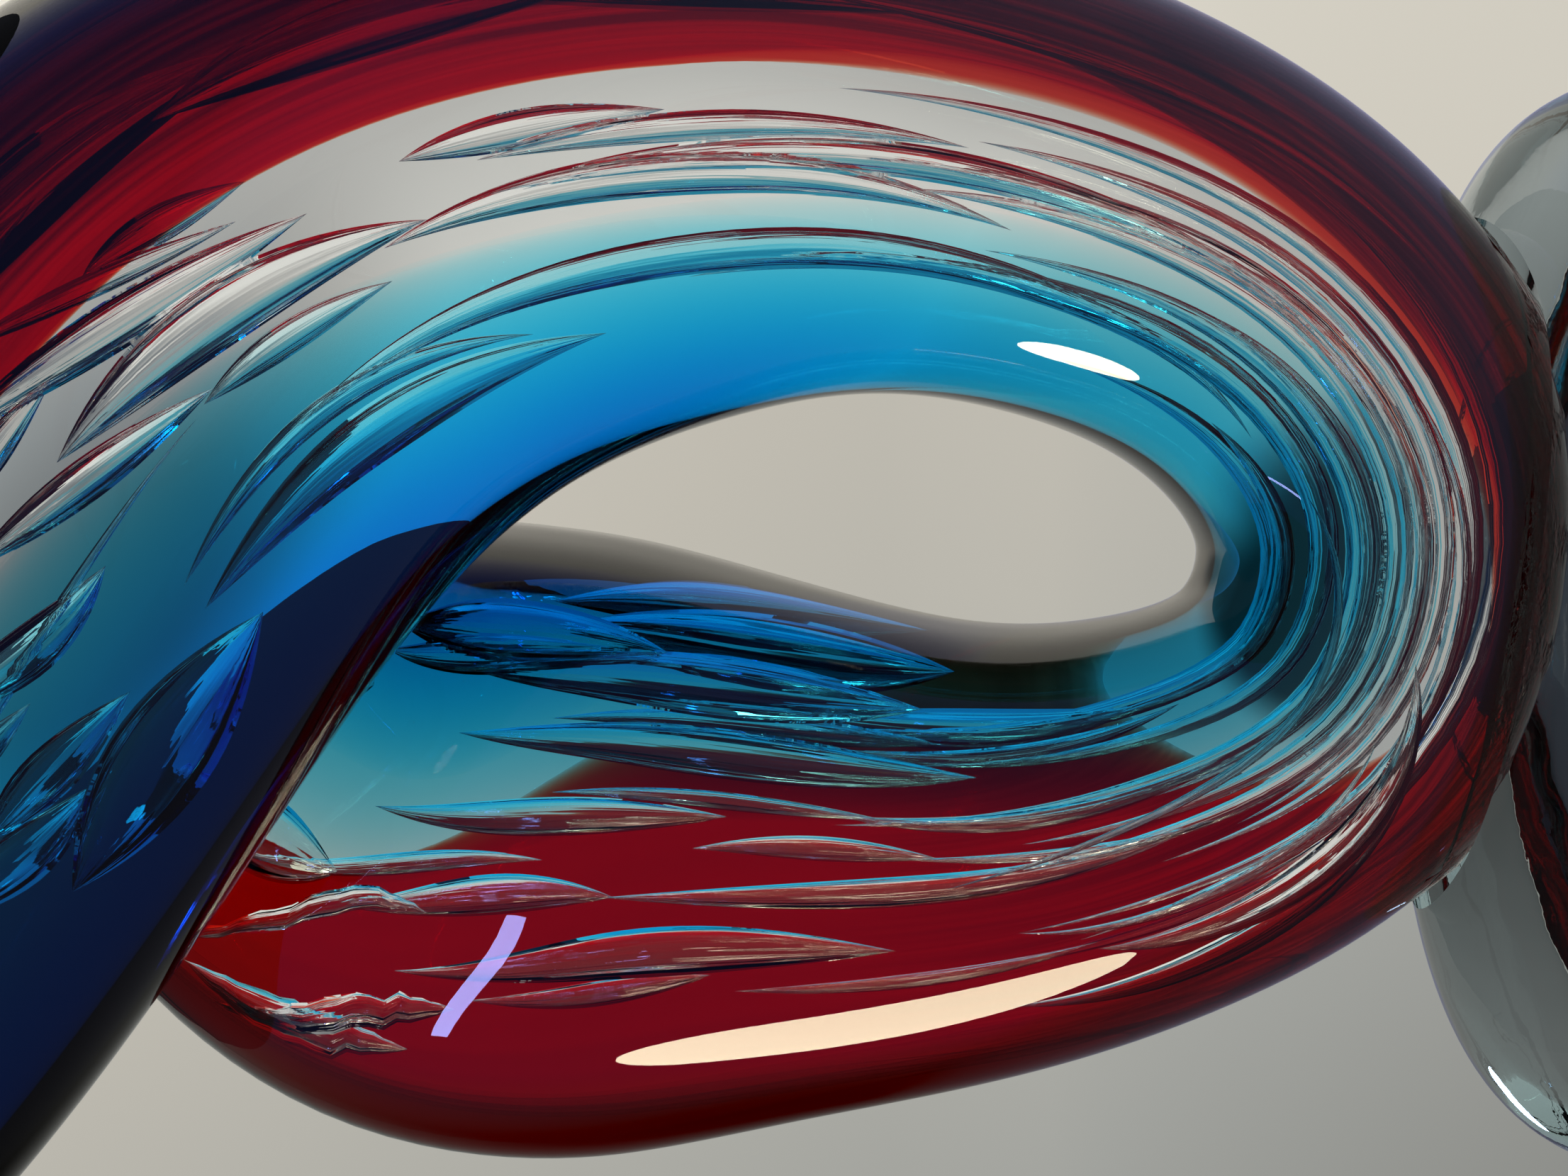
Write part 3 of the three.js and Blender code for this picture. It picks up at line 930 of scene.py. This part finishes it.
# %% The glasses
SEAM_INDEX = 1.06
ruby_material = glass("ruby_glass", (0.948, 0.30, 0.05), 1500, 18, 0.00003, darkest=0.16)
aqua_material = glass("aqua_glass", (0.0, 0.825, 0.967), 540, 18, 0.00003)
clear_material = glass("clear_glass", (0.0, 0.2, 0.4), 5, 18, 0.00003, pricked=0.0003)
base_material = glass("base_glass", (0.4, 0.6, 0.66), 10, 42, 0.0009)
seam_material = glass("seam_glass", (0.9, 0.98, 0.97), 0, 900, 0.0008, masked=False)
seam_material.node_tree.nodes["Principled BSDF"].inputs["IOR"].default_value = SEAM_INDEX


def dress(obj, material):
    """Give an object one material."""
    obj.data.materials.clear()
    obj.data.materials.append(material)


dress(ruby, ruby_material)
dress(aqua, aqua_material)
dress(clear, clear_material)
dress(base, base_material)
dress(bpy.data.objects["fused_seam"], seam_material)
print("glasses:", [m.name for m in bpy.data.materials if m.name.endswith("_glass")])

# %% [markdown]
# Which solids the pieces stand for
#
# The two covers and the core are the same clear glass, fused, so one piece stands for
# all three. The seam keeps its exact solid.

# %% Pieces stand for the solids
for piece in (ruby, aqua, clear, base):
    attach(piece, "root")
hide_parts("ruby_overlay")
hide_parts("aqua_overlay")
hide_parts("clear_core", "front_cover", "rear_cover")
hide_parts("clear_base")

# %% [markdown]
# Floor and backdrop
#
# The piece stands on a plain pale floor that curves up into a wall all round, like a
# photographer's sweep, so that it has a pale surround from every side. Clear glass shows
# mostly what lies behind it, so for every ray that looks at the sweep directly, in a
# reflection or through the glass, its pale colour is a painted glow, and it still takes
# the soft shadow. The glow is painted darker above and in front, and those are the dark
# edges in the glass.


# %% Sweep
SWEEP_FLOOR = 1.9
SWEEP_BEND = 0.6
SWEEP_HEIGHT = 2.1
SWEEP_RINGS = 24
SWEEP_SIDES = 96
BELOW_FOOT = 0.0002


def sweep():
    """Floor and surrounding wall in one curved sheet, extruded ring by ring."""
    profile = [(SWEEP_FLOOR + SWEEP_BEND, SWEEP_HEIGHT)]
    for i in range(SWEEP_RINGS + 1):
        a = (1 - i / SWEEP_RINGS) * math.pi / 2
        profile.append((SWEEP_FLOOR + SWEEP_BEND * math.sin(a), SWEEP_BEND * (1 - math.cos(a))))
    bpy.ops.object.select_all(action="DESELECT")
    bpy.ops.mesh.primitive_circle_add(vertices=SWEEP_SIDES, radius=profile[0][0], location=(0, 0, 0))
    obj = bpy.context.object
    obj.name = "pale_sweep"
    bpy.ops.object.mode_set(mode="EDIT")
    bpy.ops.mesh.select_all(action="SELECT")
    bpy.ops.transform.translate(value=(0, 0, SWEEP_HEIGHT))
    for (r0, z0), (r1, z1) in zip(profile, profile[1:]):
        bpy.ops.mesh.extrude_region_move(TRANSFORM_OT_translate={"value": (0, 0, z1 - z0)})
        bpy.ops.transform.resize(value=(r1 / r0, r1 / r0, 1))
    bpy.ops.mesh.edge_face_add()
    bpy.ops.mesh.select_all(action="SELECT")
    bpy.ops.transform.translate(value=(0, 0, -BELOW_FOOT))
    bpy.ops.object.mode_set(mode="OBJECT")
    obj.data.shade_smooth()
    bpy.ops.object.select_all(action="DESELECT")
    return obj


stage = sweep()
print("sweep faces:", len(stage.data.polygons))

# %% [markdown]
# How bright the backdrop is
#
# The level is painted light and shade, a sum over the direction from the piece: a plain
# level, less to the left, more to the right and a little more upwards, times a fall
# towards the viewer. Three soft spots of painted shade darken it: a painted contact
# shadow round the foot, a painted shadow that is seen only through the base, and a
# painted dim room above the wall. In reflections the side behind the viewer is a painted
# dim blue dusk, a painted reflection which gives the ruby its crimson sheen.

# %% Backdrop values
# Painted light and shade: the levels of the backdrop's glow.
PLAIN_LEVEL = 0.56
RISE_UP = 0.10
FALL_LEFT = 0.36
FALL_LEFT_MIRRORED = 0.35
RISE_RIGHT = 0.20
BRIGHT_SIDE = (0.12, 0.38)
BRIGHT_REACH = (0.3, 1.2)
BRIGHT_GAIN = (0.17, 0.34)
FRONT_TO_BACK = (-1.4, 0.6)
FRONT_SHARE = 0.45
SHOWN_SHARE = 0.85
# Painted reflection: a dim blue dusk that the backdrop shows in reflections only.
DUSK_GLOW = 0.22
DUSK_SIDE = (0.8, -0.6)
COOL_GREY = (0.97, 0.99, 0.93, 1)
WARM_WHITE = (1.0, 0.95, 0.83, 1)
WARM_LEVELS = (0.40, 0.60)
DUSK_BLUE = (0.22, 0.28, 1.0, 1)
PAPER = {"Base Color": (0.62, 0.60, 0.54, 1), "Roughness": 0.9, "Specular IOR Level": 0.1}
SPOT_END = 1.15
# Painted shade: a contact shadow round the foot, a shadow behind the base that only rays through the glass
# see, and a dim room above the wall.
PAINTED_SHADE_SPOTS = [
    [(0.0, 0.0, 0.0), (0.092, 0.066, 1e6), 0.55, 0.40, False],
    [(-0.005, 0.115, 0.0), (0.085, 0.095, 1e6), 0.55, 0.04, True],
    [(0.20, 0.0, 1.60), (0.80, 1e6, 0.80), 0.30, 0.35, False],
]


# %% Backdrop level
def side_level(tree, place, mirrored):
    """Level of painted light by direction and height, darker to the left, most of all in reflections."""
    split = tree.nodes.new("ShaderNodeSeparateXYZ")
    tree.links.new(place, split.inputs["Vector"])
    x, _, z = split.outputs
    flat = add_vector_math(tree, "MULTIPLY", place, (1.0, 1.0, 0.0))["Vector"]
    reach = add_vector_math(tree, "LENGTH", flat)["Value"]
    sideways = add_math(tree, "DIVIDE", x, add_math(tree, "ADD", reach, 0.06))
    steeper = add_math(tree, "MULTIPLY", mirrored, FALL_LEFT_MIRRORED)
    steeper = add_math(tree, "ADD", steeper, FALL_LEFT)
    left = add_math(tree, "MULTIPLY", add_math(tree, "MINIMUM", sideways, 0.0), steeper)
    right = add_math(tree, "MULTIPLY", add_math(tree, "MAXIMUM", sideways, 0.0), RISE_RIGHT)
    bright = add_range(tree, sideways, *BRIGHT_SIDE, curve="SMOOTHSTEP")
    far = add_range(tree, reach, *BRIGHT_REACH, *BRIGHT_GAIN)
    level = add_math(tree, "MULTIPLY", z, RISE_UP)
    for term in (left, right, add_math(tree, "MULTIPLY", bright, far), PLAIN_LEVEL):
        level = add_math(tree, "ADD", level, term)
    return level


def front_fall(tree, y, mirrored):
    """Factor of painted shade that darkens the backdrop towards the viewer, far more in reflections."""
    share = add_range(tree, y, *FRONT_TO_BACK, FRONT_SHARE, 1.0)
    power = add_math(tree, "ADD", add_math(tree, "MULTIPLY", mirrored, 2.0), 1.0)
    return add_math(tree, "POWER", share, power)


def painted_shade_spot(tree, place, centre, size, soft_start, darkest):
    """Factor of a soft spot of painted shadow."""
    scale = [1 / width for width in size]
    shift = [-at / width for at, width in zip(centre, size)]
    spot = add_vector_math(tree, "MULTIPLY_ADD", place, scale, shift)["Vector"]
    from_spot = add_vector_math(tree, "LENGTH", spot)["Value"]
    return add_range(tree, from_spot, soft_start, SPOT_END, darkest, 1.0, "SMOOTHSTEP")


def mix_colours(tree, factor, first, second):
    """A colour mix of two colours or outputs."""
    node = tree.nodes.new("ShaderNodeMix")
    node.data_type = "RGBA"
    for name, given in zip(("Factor", "A", "B"), (factor, first, second)):
        feed(tree.links, node.inputs[name], given)
    return node.outputs["Result"]


# %% Backdrop material
def sweep_material():
    """Pale matt paper with a painted glow of light and shade for camera, mirror and glass rays."""
    material = bpy.data.materials.new("pale_paper")
    material.use_nodes = True
    tree = material.node_tree
    paper = tree.nodes["Principled BSDF"]
    for label, value in PAPER.items():
        paper.inputs[label].default_value = value
    rays = tree.nodes.new("ShaderNodeLightPath").outputs
    mirrored = rays["Is Reflection Ray"]
    through = rays["Is Transmission Ray"]
    place = tree.nodes.new("ShaderNodeTexCoord").outputs["Object"]
    split = tree.nodes.new("ShaderNodeSeparateXYZ")
    tree.links.new(place, split.inputs["Vector"])
    y = split.outputs["Y"]
    level = add_math(tree, "MULTIPLY", side_level(tree, place, mirrored), front_fall(tree, y, mirrored))
    # Painted shadows darken the glow; one of them only for rays through the glass.
    for centre, size, soft_start, darkest, through_glass in PAINTED_SHADE_SPOTS:
        shade = painted_shade_spot(tree, place, centre, size, soft_start, darkest)
        if through_glass:
            shade = add_math(tree, "MAXIMUM", shade, add_math(tree, "SUBTRACT", 1.0, through))
        level = add_math(tree, "MULTIPLY", level, shade)
    # Painted light: where the glow is brighter it is warmer.
    tone = mix_colours(tree, add_range(tree, level, *WARM_LEVELS), COOL_GREY, WARM_WHITE)
    # Painted reflection: in reflections the side in front glows a dim blue dusk, which gives the ruby its
    # crimson sheen.
    dusk = add_math(tree, "MULTIPLY", add_range(tree, y, *DUSK_SIDE), mirrored)
    level = add_math(tree, "ADD", level, add_math(tree, "MULTIPLY", dusk, DUSK_GLOW))
    glow = tree.nodes.new("ShaderNodeEmission")
    tree.links.new(mix_colours(tree, dusk, tone, DUSK_BLUE), glow.inputs["Color"])
    tree.links.new(level, glow.inputs["Strength"])
    seen = add_math(tree, "MAXIMUM", rays["Is Camera Ray"], through)
    seen = add_math(tree, "MAXIMUM", seen, rays["Is Glossy Ray"])
    mix = tree.nodes.new("ShaderNodeMixShader")
    tree.links.new(add_math(tree, "MULTIPLY", seen, SHOWN_SHARE), mix.inputs["Fac"])
    tree.links.new(paper.outputs["BSDF"], mix.inputs[1])
    tree.links.new(glow.outputs["Emission"], mix.inputs[2])
    tree.links.new(mix.outputs["Shader"], tree.nodes["Material Output"].inputs["Surface"])
    return material


dress(stage, sweep_material())
print("backdrop nodes:", len(stage.active_material.node_tree.nodes))

# %% [markdown]
# Lamps
#
# Glass hides its shape until something bright is reflected in it. Two oval windows to the
# left give the long warm reflections, each on the piece whose surface carries it, and a
# narrow strip the cool one. A cool and a warm window light the base alone. The ceiling
# lights the floor and makes the soft shadow. It is not seen in the glass itself, where
# it would be a large white patch.


# %% Room light and lamp maker
def room():
    """A dim neutral room above the sweep."""
    world = bpy.data.worlds.new("room")
    bpy.context.scene.world = world
    world.use_nodes = True
    background = world.node_tree.nodes["Background"]
    background.inputs["Color"].default_value = (0.040, 0.042, 0.050, 1)
    background.inputs["Strength"].default_value = 1.0


def lamp(name, target, direction, distance, size, turn, colour, power, shape="ELLIPSE", lights=()):
    """A flat lamp that faces a target, turned about its own axis; it may light some pieces only."""
    light = bpy.data.lights.new(name, "AREA")
    light.shape = shape
    light.size, light.size_y = size
    light.color = colour
    light.energy = power
    obj = bpy.data.objects.new(name, light)
    facing = Vector(direction).normalized()
    place = Vector(target) * MM + facing * distance
    rotation = facing.to_track_quat("Z", "Y").to_matrix().to_4x4()
    obj.matrix_world = Matrix.Translation(place) @ rotation @ Matrix.Rotation(math.radians(turn), 4, "Z")
    obj.visible_camera = False
    bpy.context.scene.collection.objects.link(obj)
    if lights:
        lit = bpy.data.collections.new(name + "_lights")
        for piece in lights:
            lit.objects.link(piece)
        obj.light_linking.receiver_collection = lit
    return obj


# %% Windows, strip and ceiling
CREAM = (1.0, 0.90, 0.63)
LILAC = (0.34, 0.42, 1.0)
SKY = (0.50, 0.72, 1.0)
CEILING_WHITE = (1.0, 0.97, 0.92)
room()
lamp("window_on_aqua", (34, -24, 97), (-0.985, -0.135, -0.10), 0.45, (0.112, 0.068), 0,
     CREAM, 0.44, lights=[aqua])
lamp("window_on_clear", (-52, 2, 125), (-0.90, -0.44, 0.11), 1.1, (0.27, 0.60), 37,
     CREAM, 7.0, lights=[clear])
lamp("cool_strip", (-45, 6, 172), (-0.76, -0.494, 0.423), 1.15, (0.32, 0.022), 0,
     LILAC, 0.42, "RECTANGLE")
lamp("cool_window_on_base", (-48, -5, 44), (-0.66, 0.73, 0.10), 1.1, (0.16, 0.34), 20,
     SKY, 2.2, lights=[base])
lamp("window_on_base", (-30, -30, 42), (-0.62, -0.66, 0.42), 1.1, (0.07, 0.30), 25,
     CREAM, 1.6, lights=[base])
ceiling = lamp("ceiling", (0, 0, 110), (0.2, 0.05, 1.0), 1.9, (2.2, 2.2), 0, CEILING_WHITE, 12)
ceiling.visible_transmission = False
ceiling.visible_glossy = False
for light in bpy.data.lights:
    print(light.name, round(light.energy, 2), "W")

# %% [markdown]
# Camera
#
# The photograph was taken from close by and rolled a quarter turn, so its right side is
# down. Glass bends each ray many times, so light paths are kept long. Caustics are off,
# since the lamps already shine through the glass.


# %% Camera and light paths
def camera():
    """The photograph's own view: level, close, and rolled a quarter turn."""
    data = bpy.data.cameras.new("camera")
    data.sensor_width = 36.0
    data.lens = 38.6
    data.clip_start = 0.01
    obj = bpy.data.objects.new("camera", data)
    obj.matrix_world = Matrix((
        (0, 1, 0, 0.0045),
        (0, 0, -1, -0.226),
        (-1, 0, 0, 0.1314),
        (0, 0, 0, 1),
    ))
    bpy.context.scene.collection.objects.link(obj)
    bpy.context.scene.camera = obj


camera()
scene = bpy.context.scene
scene.view_settings.view_transform = "Standard"
scene.cycles.max_bounces = 64
scene.cycles.transmission_bounces = 64
scene.cycles.glossy_bounces = 16
scene.cycles.transparent_max_bounces = 64
scene.cycles.caustics_reflective = False
scene.cycles.caustics_refractive = False
print("camera lens, mm:", scene.camera.data.lens)

# %% Done
bpy.context.view_layer.update()
